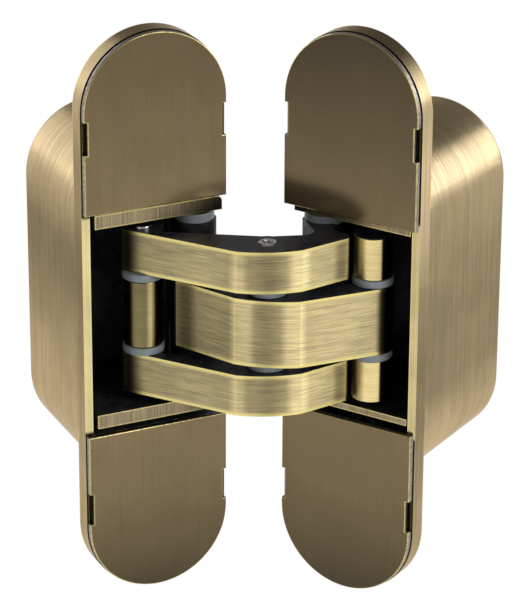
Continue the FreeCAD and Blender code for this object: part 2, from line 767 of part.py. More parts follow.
def make_washers(label, point, level, thickness_name, pin_name, outer="Sizes.washer_radius"):
    thickness = size(thickness_name)
    return make_rings(label, point, both_ways(level + size("play"), thickness),
                      f"Sizes.{thickness_name}", outer, f"Sizes.{pin_name} + Sizes.washer_clearance")


def make_bushes(label, point, bottoms, length, pin_name):
    return make_rings(label, point, bottoms, length,
                      f"Sizes.{pin_name} + {BUSH}", f"Sizes.{pin_name} + Sizes.running_clearance")


# Clamp screws: low round heads with a hexagon socket, through the ears into the bosses.
def make_clamp_screws(label, place):
    screws = []
    front = size("ear_front")
    head_height = size("clamp_head_height")
    for number, side in enumerate((-1, 1), start=1):
        head = doc.addObject("Part::Cylinder", f"{label}_head_{number}")
        head.setExpression("Radius", "Sizes.clamp_head_radius")
        head.setExpression("Height", "Sizes.clamp_head_height")
        shank = doc.addObject("Part::Cylinder", f"{label}_shank_{number}")
        shank.setExpression("Radius", "Sizes.clamp_radius")
        shank.setExpression("Height", "Sizes.clamp_head_height + Sizes.clamp_length")
        socket = doc.addObject("Part::Prism", f"{label}_socket_{number}")
        socket.Polygon = 6
        socket.setExpression("Circumradius", "Sizes.clamp_head_radius / 2")
        socket.setExpression("Height", "Sizes.clamp_head_height / 2")
        solid = doc.addObject("Part::Fuse", f"{label}_solid_{number}")
        solid.Base = head
        solid.Tool = shank
        screw = doc.addObject("Part::Cut", f"{label}_screw_{number}")
        screw.Base = solid
        screw.Tool = socket
        spot = Vector(0, front - head_height - size("play"), side * size("clamp_height"))
        screw.Placement = Placement(spot, Rotation(Vector(1, 0, 0), -90))
        screws.append(screw)
    group = doc.addObject("Part::Compound", label)
    group.Label = label
    group.Links = screws
    group.Placement = place
    return group


def make_stop_pad():
    """A flat dark pad in the recess of the right carriage's outer web, where the arm closes."""
    pad = doc.addObject("Part::Box", "right_stop_pad")
    pad.Label = "right_stop_pad"
    pad.setExpression("Length", "Sizes.pad_thickness")
    pad.setExpression("Width", "Sizes.pad_depth")
    pad.setExpression("Height", "Sizes.pad_height")
    seat = carriage_far("right") - size("carriage_web") + size("pad_recess")
    corner = Vector(seat - size("pad_thickness"), size("web_start"), rise - size("pad_height") / 2)
    pad.Placement = right_place.multiply(Placement(corner, Rotation()))
    return pad


to_right = right_from_left.inverse()
right_pivot_local = to_right.multVec(right_pivot)
right_anchor_local = to_right.multVec(right_anchor)
left_hole = (left_anchor.x + size("left_anchor_hole_shift_x"),
             left_anchor.y + size("left_anchor_hole_shift_y"))
right_hole = (right_anchor_local.x + size("right_anchor_hole_shift_x"),
              right_anchor_local.y + size("right_anchor_hole_shift_y"))

barrel_bushes = both_ways(barrel_top - size("bush_length"), size("bush_length"))
left_plate_top = plate_levels("left")[1]
right_plate_top = plate_levels("right")[1]
tube_bushes = both_ways(prong_bottom, size("prong_height"))
short_bush = [-size("middle_half_height")]
joint_washer = "Sizes.joint_eye_radius"

nodes = [
    make_housing("left_housing", 1, "left_housing_depth", left_place),
    make_cover("left_cover_top", 1, "left_cover_start", left_place),
    make_cover("left_cover_bottom", -1, "left_cover_start", left_place),
    make_clamp_screws("left_clamp_screws", left_place),
    make_carriage("left_carriage", 1, "left", (left_pivot.x, left_pivot.y), left_hole, True, left_place),
    make_pin("left_pivot_pin", left_pivot, "pivot_pin_radius", left_plate_top),
    make_washers("left_pivot_washers", left_pivot, barrel_top, "pivot_washer_thickness",
                 "pivot_pin_radius"),
    make_middle_arm(),
    make_bushes("left_pivot_bushes", left_pivot, barrel_bushes, "Sizes.bush_length",
                "pivot_pin_radius"),
    make_bushes("centre_bush", centre, short_bush, "2 * Sizes.middle_half_height",
                "centre_pin_radius"),
    make_washers("centre_washers", centre, middle_top, "washer_thickness", "centre_pin_radius"),
    make_pin("centre_pin", centre, "centre_pin_radius", prong_top + size("centre_pin_proud"),
             size("centre_pin_socket")),
    make_outer_arm(),
    make_bushes("right_pivot_bushes", right_pivot, barrel_bushes, "Sizes.bush_length",
                "pivot_pin_radius"),
    make_pin("left_joint_pin", left_joint, "joint_pin_radius",
             prong_top + size("left_joint_pin_proud")),
    make_washers("left_joint_washers", left_joint, middle_top, "washer_thickness",
                 "joint_pin_radius", joint_washer),
    make_left_link(),
    make_bushes("left_joint_bush", left_joint, short_bush, "2 * Sizes.middle_half_height",
                "joint_pin_radius"),
    make_pin("left_anchor_pin", left_anchor, "anchor_pin_radius",
             left_plate_top - size("pin_chamfer")),
    make_pin("right_joint_pin", right_joint, "joint_pin_radius",
             prong_top - size("right_joint_pin_sink")),
    make_washers("right_joint_washers", right_joint, middle_top, "washer_thickness",
                 "joint_pin_radius", joint_washer),
    make_right_link(),
    make_bushes("right_joint_bushes", right_joint, tube_bushes, "Sizes.prong_height",
                "joint_pin_radius"),
    make_pin("right_anchor_pin", right_anchor, "anchor_pin_radius",
             right_plate_top - size("pin_chamfer")),
    make_carriage("right_carriage", -1, "right", (right_pivot_local.x, right_pivot_local.y),
                  right_hole, False, right_place),
    make_pin("right_pivot_pin", right_pivot, "pivot_pin_radius", right_plate_top),
    make_washers("right_pivot_washers", right_pivot, barrel_top, "pivot_washer_thickness",
                 "pivot_pin_radius"),
    make_stop_pad(),
    make_housing("right_housing", -1, "right_housing_depth", right_place),
    make_cover("right_cover_top", 1, "right_cover_start", right_place),
    make_cover("right_cover_bottom", -1, "right_cover_start", right_place),
    make_clamp_screws("right_clamp_screws", right_place),
]
doc.recompute()

for item in doc.Objects:
    if "Invalid" in item.State or "Error" in item.State:
        raise RuntimeError(f"{item.Name} failed: {item.State}")
for node in nodes:
    if node.Shape.isNull() or not node.Shape.isValid():
        raise RuntimeError(f"{node.Label} has no valid shape")

os.makedirs("parts", exist_ok=True)
for node in nodes:
    node.Shape.exportStep(f"parts/{node.Label}.step")
    box = node.Shape.BoundBox
    print(f"{node.Label:22s} solids {len(node.Shape.Solids)} volume {node.Shape.Volume:9.1f} "
          f"x {box.XMin:6.1f} {box.XMax:6.1f} y {box.YMin:6.1f} {box.YMax:6.1f} "
          f"z {box.ZMin:6.1f} {box.ZMax:6.1f}")
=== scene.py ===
import json
import math

import bmesh
import bpy
from bpy.props import FloatProperty, FloatVectorProperty, IntProperty, PointerProperty
from bpy.types import Operator, Panel, PropertyGroup
from mathutils import Matrix, Vector

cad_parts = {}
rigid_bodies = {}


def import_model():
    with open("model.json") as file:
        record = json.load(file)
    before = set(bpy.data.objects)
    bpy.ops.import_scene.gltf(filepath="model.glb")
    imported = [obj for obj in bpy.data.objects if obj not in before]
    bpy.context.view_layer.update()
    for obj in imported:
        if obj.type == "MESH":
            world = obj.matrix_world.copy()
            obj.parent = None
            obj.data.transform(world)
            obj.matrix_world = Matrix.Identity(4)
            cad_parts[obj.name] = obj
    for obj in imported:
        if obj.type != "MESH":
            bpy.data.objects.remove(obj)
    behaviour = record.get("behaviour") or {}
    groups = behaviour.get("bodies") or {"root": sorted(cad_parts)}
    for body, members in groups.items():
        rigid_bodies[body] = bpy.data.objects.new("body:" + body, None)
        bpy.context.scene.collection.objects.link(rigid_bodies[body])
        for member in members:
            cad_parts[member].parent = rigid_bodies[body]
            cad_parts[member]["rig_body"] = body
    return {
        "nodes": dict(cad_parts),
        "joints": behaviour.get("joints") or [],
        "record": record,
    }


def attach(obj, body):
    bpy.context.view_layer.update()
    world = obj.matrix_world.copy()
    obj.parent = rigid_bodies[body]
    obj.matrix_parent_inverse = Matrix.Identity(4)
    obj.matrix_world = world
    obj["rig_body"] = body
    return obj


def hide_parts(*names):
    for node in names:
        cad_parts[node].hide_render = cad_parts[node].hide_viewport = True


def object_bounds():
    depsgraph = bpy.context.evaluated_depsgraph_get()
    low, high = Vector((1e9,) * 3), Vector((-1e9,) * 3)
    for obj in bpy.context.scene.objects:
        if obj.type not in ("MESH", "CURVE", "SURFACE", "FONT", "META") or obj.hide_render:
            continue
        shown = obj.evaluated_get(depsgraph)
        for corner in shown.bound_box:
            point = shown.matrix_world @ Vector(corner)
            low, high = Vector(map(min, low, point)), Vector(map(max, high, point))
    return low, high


bl_info = {
    "name": "Concealed Door Hinge",
    "version": (1, 0, 0),
    "blender": (4, 5, 0),
    "location": "View3D > Sidebar > Hinge",
    "description": "Dresses a concealed door hinge in brushed antique bronze and sets its stage",
    "category": "Object",
}

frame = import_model()
CAD_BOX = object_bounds()

# One millimetre in the scene's metres.
MM = 0.001

SIDES = ("left", "right")

# Each plate's own axes start at the middle of its front face: x across, y into the leaf, z up.
# The screws' mounts lie on the rear faces of the flanges, one flange thickness further in.
FLANGE = 3.8 * MM
HALF_WIDTH = 14.25 * MM
HALF_HEIGHT = 55.5 * MM
HOUSING_HALF_HEIGHT = 34.5 * MM
WALL = 1.5 * MM


def plate_axes(mount_name):
    mount = next(item for item in frame["record"]["mounts"] if item["name"] == mount_name)
    inward = Vector(mount["axis"])
    turn = Matrix.Rotation(math.atan2(-inward.x, inward.y), 4, "Z")
    return Matrix.Translation(Vector(mount["pos_m"]) - FLANGE * inward) @ turn


PLATES = {side: plate_axes(f"{side}_outer_screws") for side in SIDES}
TURNS = {side: place.to_euler().z for side, place in PLATES.items()}
JOINTS = {joint["name"]: joint for joint in frame["joints"]}


def pivot(name):
    """Where an upright joint axis lies, in the row frame."""
    return Vector(JOINTS[name]["pos_m"])


# Sizes and colours a user would change

class HingeSizes(PropertyGroup):
    edge_round: FloatProperty(
        name="Edge rounding", description="Rounding of the castings' edges",
        default=0.22 * MM, min=0.0, unit="LENGTH", precision=5)
    cover_round: FloatProperty(
        name="Cover rounding", description="Rounding of the thin covers' edges",
        default=0.16 * MM, min=0.0, unit="LENGTH", precision=5)
    small_round: FloatProperty(
        name="Small rounding", description="Rounding of pins, washers and bushes",
        default=0.12 * MM, min=0.0, unit="LENGTH", precision=5)
    round_steps: IntProperty(
        name="Rounding steps", description="Faces across each rounded edge", default=3, min=1, max=6)
    worn_width: FloatProperty(
        name="Worn width", description="Reach of the bright wear beside an edge",
        default=0.55 * MM, min=0.0, unit="LENGTH", precision=5)
    hair_width: FloatProperty(
        name="Brush line width", description="Width of one line of the brushed grain",
        default=0.065 * MM, min=0.01 * MM, unit="LENGTH", precision=5)
    floor_drop: FloatProperty(
        name="Floor drop", description="Distance from the hinge's lowest point to the floor",
        default=18.0 * MM, min=0.0, unit="LENGTH", precision=4)


def colour(name, about, value):
    return FloatVectorProperty(
        name=name, description=about, default=value, subtype="COLOR", size=3, min=0.0, max=1.0)


class HingeColours(PropertyGroup):
    cover_bronze: colour("Cover bronze", "Patina on the covers", (0.235, 0.172, 0.088))
    cover_deep: colour("Deep bronze", "Patina in the covers' scratches", (0.150, 0.108, 0.054))
    housing_bronze: colour("Housing bronze", "Patina on the housings", (0.46, 0.365, 0.215))
    housing_deep: colour("Housing deep", "Dark lines on the housings", (0.16, 0.125, 0.098))
    cover_rim: colour("Cover rim", "Worn front edges of the covers", (0.62, 0.525, 0.23))
    cover_wall: colour("Cover wall", "Narrow side walls of the covers", (0.30, 0.262, 0.265))
    strip_bronze: colour("Strip bronze", "Brushed fronts of the carriages", (0.42, 0.34, 0.20))
    strip_deep: colour("Strip deep", "Dark lines on the carriages", (0.10, 0.075, 0.045))
    arm_brass: colour("Arm brass", "Brushed faces of the arms", (0.465, 0.385, 0.185))
    arm_deep: colour("Arm deep", "Dark lines on the arms", (0.135, 0.105, 0.082))
    tube_brass: colour("Tube brass", "Brushed tubes of the links", (0.50, 0.41, 0.19))
    tube_deep: colour("Tube deep", "Dark lines on the tubes", (0.20, 0.155, 0.075))
    rail_brass: colour("Rail brass", "Flange fronts beside the window", (0.80, 0.66, 0.33))
    worn_brass: colour("Worn brass", "Bare metal on worn edges", (0.90, 0.77, 0.29))
    black_patina: colour("Black patina", "Unbrushed faces", (0.020, 0.0195, 0.021))
    steel: colour("Steel", "Pins and screws", (0.86, 0.84, 0.81))
    washer: colour("Washer", "Pale polymer washers", (0.34, 0.375, 0.39))
    bush: colour("Bush", "Dark bearing bushes", (0.012, 0.012, 0.013))
    rubber: colour("Rubber", "Stop pad", (0.30, 0.275, 0.265))
    edge_tint: colour("Edge tint", "Colour of the plating at a grazing look", (0.92, 0.80, 0.62))
    floor: colour("Floor", "Pale floor", (0.93, 0.93, 0.93))


def sizes():
    return bpy.context.scene.hinge_sizes


def colours():
    return bpy.context.scene.hinge_colours


def rgba(value, factor=1.0):
    """A colour with full alpha, made lighter or darker by a factor."""
    return (factor * value[0], factor * value[1], factor * value[2], 1.0)


# Node helpers

# Sockets of a Mix node that blends two colours.
MIX_FACTOR = 0
MIX_START = 6
MIX_END = 7
MIX_RESULT = 2

FULL_SPAN = (0.0, 1.0)


def add_node(tree, kind, x, y, **settings):
    node = tree.nodes.new(kind)
    node.location = (x, y)
    for key, value in settings.items():
        setattr(node, key, value)
    return node


def link(tree, start, end):
    tree.links.new(start, end)


def feed(tree, socket, value):
    """Puts a number, a colour or another node's output into a socket."""
    if isinstance(value, bpy.types.NodeSocket):
        tree.links.new(value, socket)
    else:
        socket.default_value = value


def maths(tree, operation, first, second, x, y, clamp=False):
    node = add_node(tree, "ShaderNodeMath", x, y, operation=operation, use_clamp=clamp)
    feed(tree, node.inputs[0], first)
    feed(tree, node.inputs[1], second)
    return node.outputs[0]


def vector_maths(tree, operation, first, second, x, y):
    node = add_node(tree, "ShaderNodeVectorMath", x, y, operation=operation)
    feed(tree, node.inputs[0], first)
    feed(tree, node.inputs[1], second)
    return node.outputs["Vector"]


def spread(tree, value, span, x, y, result=FULL_SPAN):
    """Stretches a span of values to the result's span, clamped and eased."""
    node = add_node(tree, "ShaderNodeMapRange", x, y, interpolation_type="SMOOTHSTEP")
    feed(tree, node.inputs["Value"], value)
    node.inputs["From Min"].default_value = span[0]
    node.inputs["From Max"].default_value = span[1]
    node.inputs["To Min"].default_value = result[0]
    node.inputs["To Max"].default_value = result[1]
    return node.outputs["Result"]


def blend_colour(tree, mask, first, second, x, y):
    node = add_node(tree, "ShaderNodeMix", x, y, data_type="RGBA")
    feed(tree, node.inputs[MIX_FACTOR], mask)
    feed(tree, node.inputs[MIX_START], first)
    feed(tree, node.inputs[MIX_END], second)
    return node.outputs[MIX_RESULT]


def scale_colour(tree, tint, factor, x, y):
    node = add_node(tree, "ShaderNodeVectorMath", x, y, operation="SCALE")
    feed(tree, node.inputs[0], tint)
    feed(tree, node.inputs["Scale"], factor)
    return node.outputs["Vector"]


def noise(tree, vector, cells, detail, roughness, x, y):
    """Noise of so many cells per metre."""
    node = add_node(tree, "ShaderNodeTexNoise", x, y)
    feed(tree, node.inputs["Vector"], vector)
    node.inputs["Scale"].default_value = cells
    node.inputs["Detail"].default_value = detail
    node.inputs["Roughness"].default_value = roughness
    return node.outputs["Fac"]


def object_noise(tree, cells, detail, x, y):
    """Fairly rough noise that stays with the piece as it moves."""
    place = add_node(tree, "ShaderNodeTexCoord", x - 250, y)
    return noise(tree, place.outputs["Object"], cells, detail, 0.6, x, y)


def add_bump(tree, shader, height, strength, depth):
    """Feeds the shader's normal with a bump whose height spans a real depth."""
    bump = add_node(tree, "ShaderNodeBump", 600, -300)
    bump.inputs["Strength"].default_value = strength
    bump.inputs["Distance"].default_value = depth
    link(tree, height, bump.inputs["Height"])
    link(tree, bump.outputs["Normal"], shader.inputs["Normal"])


def new_group(name, inputs, outputs):
    """A shader node group; inputs give each socket's name, type and start value, and outputs its
    name and type."""
    group = bpy.data.node_groups.new(name, "ShaderNodeTree")
    for label, kind, value in inputs:
        socket = group.interface.new_socket(name=label, in_out="INPUT", socket_type=kind)
        socket.default_value = value
    for label, kind in outputs:
        group.interface.new_socket(name=label, in_out="OUTPUT", socket_type=kind)
    start = add_node(group, "NodeGroupInput", -900, 0)
    end = add_node(group, "NodeGroupOutput", 900, 0)
    return group, start.outputs, end.inputs


def place_group(tree, group, x, y, **values):
    node = add_node(tree, "ShaderNodeGroup", x, y)
    node.node_tree = group
    for name, value in values.items():
        feed(tree, node.inputs[name.capitalize()], value)
    return node


# Shared effects

# How fine each effect's noise is, in cells per metre.
CLOUD_CELLS = 90.0
WEAR_CELLS = 1400.0
RIM_CELLS = 1500.0
PATINA_CELLS = 700.0
POLYMER_CELLS = 900.0

# Cells of the wide bands for each cell of the hair lines.
BAND_FINENESS = 0.26

# The values that most of a noise lies between, which the masks stretch.
NOISE_SPAN = (0.3, 0.7)
BLOTCH_SPAN = (0.35, 0.7)
HAIR_SPAN = (0.34, 0.70)
BAND_SPAN = (0.36, 0.68)

# The wear that is left after the breakup, from an untouched face to bare metal.
WEAR_SPAN = (0.02, 0.75)


def brushed_grain_group():
    """Long hair lines: Streak is a mask from 0 to 1 and Height drives the bump."""
    group, given, result = new_group(
        "brushed_grain",
        [("Stretch", "NodeSocketVector", (1.0, 1.0, 1.0)), ("Turn", "NodeSocketFloat", 0.0),
         ("Band", "NodeSocketFloat", 0.38)],
        [("Streak", "NodeSocketFloat"), ("Height", "NodeSocketFloat"), ("Cloud", "NodeSocketFloat")])
    place = add_node(group, "ShaderNodeTexCoord", -900, 300)
    turned = add_node(group, "ShaderNodeVectorRotate", -700, 200, rotation_type="Z_AXIS")
    link(group, place.outputs["Object"], turned.inputs["Vector"])
    link(group, given["Turn"], turned.inputs["Angle"])
    along = vector_maths(group, "MULTIPLY", turned.outputs["Vector"], given["Stretch"], -500, 200)
    hair = noise(group, along, 1.0 / sizes().hair_width, 3.0, 0.65, -250, 300)
    band = noise(group, along, BAND_FINENESS / sizes().hair_width, 2.0, 0.5, -250, 100)
    cloud = noise(group, turned.outputs["Vector"], CLOUD_CELLS, 3.0, 0.55, -250, -150)
    fine = spread(group, hair, HAIR_SPAN, 0, 300)
    wide = spread(group, band, BAND_SPAN, 0, 100)
    rest = maths(group, "SUBTRACT", 1.0, given["Band"], 0, -50)
    both = maths(group, "MULTIPLY", fine, rest, 200, 300)
    more = maths(group, "MULTIPLY", wide, given["Band"], 200, 100)
    total = maths(group, "ADD", both, more, 400, 200, clamp=True)
    link(group, total, result["Streak"])
    link(group, hair, result["Height"])
    link(group, cloud, result["Cloud"])
    return group


def edge_wear_group():
    """Wear is 1 on convex and concave edges and fades over the given reach."""
    group, given, result = new_group(
        "edge_wear",
        [("Reach", "NodeSocketFloat", 0.5 * MM), ("Gain", "NodeSocketFloat", 1.0),
         ("Breakup", "NodeSocketFloat", 0.35)],
        [("Wear", "NodeSocketFloat")])
    soft = add_node(group, "ShaderNodeBevel", -650, 200, samples=6)
    link(group, given["Reach"], soft.inputs["Radius"])
    true_way = add_node(group, "ShaderNodeNewGeometry", -650, -50)
    leaning = vector_maths(group, "CROSS_PRODUCT", soft.outputs["Normal"],
                           true_way.outputs["Normal"], -400, 150)
    turned = add_node(group, "ShaderNodeVectorMath", -200, 150, operation="LENGTH")
    link(group, leaning, turned.inputs[0])
    raised = maths(group, "MULTIPLY", turned.outputs["Value"], given["Gain"], 0, 150)
    patches = object_noise(group, WEAR_CELLS, 3.0, -400, -250)
    loss = maths(group, "MULTIPLY", patches, given["Breakup"], -200, -200)
    worn = maths(group, "SUBTRACT", raised, loss, 200, 50, clamp=True)
    link(group, spread(group, worn, WEAR_SPAN, 400, 50), result["Wear"])
    return group


def place_grain(tree, **values):
    """Places the brushed grain, whose group is built on first use."""
    group = bpy.data.node_groups.get("brushed_grain") or brushed_grain_group()
    return place_group(tree, group, -500, 200, **values)


def place_wear(tree, **values):
    """Places the edge wear, whose group is built on first use."""
    group = bpy.data.node_groups.get("edge_wear") or edge_wear_group()
    return place_group(tree, group, -500, -200, **values)


# Materials

def new_material(name):
    material = bpy.data.materials.new(name)
    material.use_nodes = True
    tree = material.node_tree
    shader = tree.nodes["Principled BSDF"]
    shader.location = (900, 0)
    tree.nodes["Material Output"].location = (1200, 0)
    return material, tree, shader


def brushed_metal(name, bright, deep, stretch, turn, rough, lines, shade=None, wear_gain=1.1,
                  reach=None, uneven=0.10, relief=0.35, band=0.38, cloud=0.13, metallic=1.0):
    """Antique plating: brushed through to brass, darker in the lines and bare on the edges."""
    material, tree, shader = new_material(name)
    grain = place_grain(tree, stretch=stretch, turn=turn, band=band)
    wear = place_wear(tree, reach=reach or sizes().worn_width, gain=wear_gain, breakup=0.25)
    mask = maths(tree, "MULTIPLY", grain.outputs["Streak"], lines, -250, 300)
    metal = blend_colour(tree, mask, rgba(bright), rgba(deep), -50, 300)
    patch = spread(tree, grain.outputs["Cloud"], NOISE_SPAN, -250, 50, (1.0 - cloud, 1.0 + cloud))
    surface = scale_colour(tree, metal, patch, 150, 300)
    bare = rgba(colours().worn_brass)
    # The shade paints light and shade into the colour.
    if shade is not None:
        factor = shade(tree)
        surface = scale_colour(tree, surface, factor, 300, 300)
        # The worn metal takes the surface's painted shade but not its painted highlights.
        dimming = maths(tree, "MINIMUM", factor, 1.0, 150, 100)
        bare = scale_colour(tree, colours().worn_brass, dimming, 300, 100)
    final = blend_colour(tree, wear.outputs["Wear"], surface, bare, 500, 200)
    link(tree, final, shader.inputs["Base Color"])
    shader.inputs["Metallic"].default_value = metallic
    shader.inputs["Specular Tint"].default_value = rgba(colours().edge_tint)
    patchy = spread(tree, grain.outputs["Streak"], FULL_SPAN, 300, -100, (rough, rough + uneven))
    link(tree, patchy, shader.inputs["Roughness"])
    shader.inputs["Anisotropic"].default_value = 0.5
    add_bump(tree, shader, grain.outputs["Height"], strength=relief, depth=0.03 * MM)
    return material


def worn_metal(name, bright, rough):
    """Bare metal on an edge that hands and cloths have polished."""
    material, tree, shader = new_material(name)
    patches = object_noise(tree, RIM_CELLS, 3.0, -650, 100)
    tone = spread(tree, patches, BLOTCH_SPAN, -400, 100)
    base = blend_colour(tree, tone, rgba(bright), rgba(bright, 0.62), -100, 200)
    link(tree, base, shader.inputs["Base Color"])
    shader.inputs["Metallic"].default_value = 1.0
    patchy = spread(tree, patches, NOISE_SPAN, -100, -100, (rough - 0.05, rough + 0.08))
    link(tree, patchy, shader.inputs["Roughness"])
    return material


def patina_black(name, dark, gloss):
    """Unbrushed casting: near black, slightly mottled, with brass showing on the edges."""
    material, tree, shader = new_material(name)
    wear = place_wear(tree, reach=0.6 * sizes().worn_width, gain=0.9, breakup=0.6)
    mottle = object_noise(tree, PATINA_CELLS, 4.0, -650, 200)
    tone = spread(tree, mottle, BLOTCH_SPAN, -400, 200)
    base = blend_colour(tree, tone, rgba(dark), rgba(dark, 2.4), -150, 200)
    faint = maths(tree, "MULTIPLY", wear.outputs["Wear"], 0.12, -150, -100)
    final = blend_colour(tree, faint, base, rgba(colours().worn_brass), 200, 100)
    link(tree, final, shader.inputs["Base Color"])
    shader.inputs["Specular IOR Level"].default_value = gloss
    patchy = spread(tree, mottle, NOISE_SPAN, 200, -150, (0.26, 0.42))
    link(tree, patchy, shader.inputs["Roughness"])
    add_bump(tree, shader, mottle, strength=0.2, depth=0.05 * MM)
    return material


def lathed_metal(name, bright, rough):
    """Ground pins and screws with fine rings from the lathe."""
    material, tree, shader = new_material(name)
    grain = place_grain(tree, stretch=LATHE_RINGS, turn=0.0)
    tone = spread(tree, grain.outputs["Streak"], FULL_SPAN, -200, 200)
    base = blend_colour(tree, tone, rgba(bright), rgba(bright, 0.55), 100, 200)
    link(tree, base, shader.inputs["Base Color"])
    shader.inputs["Metallic"].default_value = 1.0
    patchy = spread(tree, grain.outputs["Cloud"], NOISE_SPAN, 100, -100, (rough, rough + 0.14))
    link(tree, patchy, shader.inputs["Roughness"])
    add_bump(tree, shader, grain.outputs["Height"], strength=0.15, depth=0.02 * MM)
    return material


def polymer(name, tint, rough):
    """Moulded plastic or rubber with a faint mottle."""
    material, tree, shader = new_material(name)
    mottle = object_noise(tree, POLYMER_CELLS, 3.0, -650, 100)
    tone = spread(tree, mottle, NOISE_SPAN, -400, 100)
    base = blend_colour(tree, tone, rgba(tint, 0.86), rgba(tint), -100, 200)
    link(tree, base, shader.inputs["Base Color"])
    patchy = spread(tree, mottle, NOISE_SPAN, -100, -100, (rough - 0.06, rough + 0.08))
    link(tree, patchy, shader.inputs["Roughness"])
    add_bump(tree, shader, mottle, strength=0.12, depth=0.04 * MM)
    return material


def painted_height_light(stops, mirrored=False):
    """Painted light and shade that follow the height: stops pair a height in millimetres with a factor. A
    mirrored one is the same above and below the middle."""
    low, high = stops[0][0] * MM, stops[-1][0] * MM
    strongest = max(factor for height, factor in stops)

    def shade(tree):
        place = add_node(tree, "ShaderNodeTexCoord", -250, 700)
        split = add_node(tree, "ShaderNodeSeparateXYZ", -50, 700)
        link(tree, place.outputs["Object"], split.inputs[0])
        height = split.outputs["Z"]
        if mirrored:
            height = maths(tree, "ABSOLUTE", height, 0.0, 100, 700)
        level = add_node(tree, "ShaderNodeMapRange", 250, 700)
        link(tree, height, level.inputs["Value"])
        level.inputs["From Min"].default_value = low
        level.inputs["From Max"].default_value = high
        ramp = add_node(tree, "ShaderNodeValToRGB", 450, 700)
        link(tree, level.outputs["Result"], ramp.inputs["Fac"])
        points = ramp.color_ramp.elements
        for number, (stop, factor) in enumerate(stops):
            position = (stop * MM - low) / (high - low)
            # A new ramp already has two points.
            if number < 2:
                point = points[number]
                point.position = position
            else:
                point = points.new(position)
            point.color = rgba((1.0, 1.0, 1.0), factor / strongest)
        return maths(tree, "MULTIPLY", ramp.outputs["Color"], strongest, 700, 700)
    return shade


def painted_place_light(spots, facings):
    """Painted light and shade that follow place and facing. Each spot has the plan place of an upright
    line, the radii in millimetres between which its factor fades out, and that factor: above 1 a painted
    highlight, below 1 painted shade. The facings pair the x part of a face's outward normal in the world
    with a factor, from west to east, so that faces are painted lighter or darker by the way they turn."""
    def shade(tree):
        way = add_node(tree, "ShaderNodeNewGeometry", -900, 1200)
        split = add_node(tree, "ShaderNodeSeparateXYZ", -700, 1200)
        link(tree, way.outputs["Normal"], split.inputs[0])
        result = facings[0][1]
        for number, ((west, before), (east, after)) in enumerate(zip(facings, facings[1:])):
            row = 1200 + 200 * number
            step = spread(tree, split.outputs["X"], (west, east), -500, row, (1.0, after / before))
            result = maths(tree, "MULTIPLY", step, result, -300, row)
        place = add_node(tree, "ShaderNodeTexCoord", -900, 900)
        flat = vector_maths(tree, "MULTIPLY", place.outputs["Object"], (1.0, 1.0, 0.0), -700, 900)
        for number, (x, y, near, far, factor) in enumerate(spots):
            row = 900 - 200 * number
            gap = add_node(tree, "ShaderNodeVectorMath", -500, row, operation="DISTANCE")
            link(tree, flat, gap.inputs[0])
            gap.inputs[1].default_value = (x * MM, y * MM, 0.0)
            lit = spread(tree, gap.outputs["Value"], (near * MM, far * MM), -300, row, (factor, 1.0))
            result = maths(tree, "MULTIPLY", lit, result, -100, row)
        return result
    return shade


# Painted light and shade on the arms and the carriages' strips: plan place, radii and factor, the first two
# in millimetres. The arms' creases get painted highlights, and their tips, their facets and the strips'
# inner ends get painted shade.
OUTER_PAINTED_SPOTS = [(-5.15, -0.69, 1.2, 4.6, 0.05), (9.4, -19.8, 0.3, 2.2, 1.60), (14.7, -22.2, 0.3, 3.4, 0.80),
               (19.8, -23.9, 0.8, 2.8, 1.6), (28.9, -22.5, 0.3, 2.0, 0.55)]
MIDDLE_PAINTED_SPOTS = [(4.41, -7.92, 0.4, 3.2, 0.40), (10.5, -19.0, 1.0, 2.9, 1.85), (14.3, -21.7, 0.3, 3.0, 0.72),
                (18.5, -24.3, 0.9, 2.8, 1.75), (37.0, -25.4, 1.2, 2.6, 0.05)]
STRIP_PAINTED_SHADE = {"left": [(14.0, -2.6, 2.0, 11.0, 0.22)], "right": [(23.5, -8.6, 1.5, 7.0, 0.35)]}
# Painted light and shade by facing on the arms and the links' tubes: the x part of a face's normal with its
# factor, from west to east.
OUTER_FACING_LIGHT = [(-0.8, 1.12), (-0.38, 0.90), (0.1, 2.0), (0.25, 1.9), (0.6, 0.1)]
MIDDLE_FACING_LIGHT = [(-0.95, 0.95), (-0.88, 0.85), (-0.5, 1.0), (-0.08, 1.7), (0.1, 1.6), (0.3, 0.05)]
TUBE_FACING_LIGHT = {
    "left": [(-0.93, 0.05), (-0.82, 0.48), (-0.3, 0.42), (0.0, 1.25), (0.12, 0.9), (0.3, 0.03)],
    "right": [(-1.0, 1.5), (-0.9, 1.0), (-0.7, 1.75), (-0.12, 1.7), (0.03, 0.03)],
}

# The carriages' strips get their painted shade from their spots alone.
ANY_FACING = [(0.0, 1.0)]

# Bright wear, partly a painted highlight along the arms' rims, reaches this many times further on the arms
# than on the other brushed pieces.
ARM_WEAR_AND_SHEEN = 2.6

# The flange's front is bright beside the window and painted dark, as painted shade, from where the covers
# begin.
SHADE_UNDER_COVERS = [(0, 1.0), (21.0, 1.0), (21.6, 0.03), (57, 0.03)]

# Share of the rail colour on each plate, as painted shade that makes the right plate's rail darker.
RAIL_PAINTED_SHADE = {"left": 1.0, "right": 0.75}
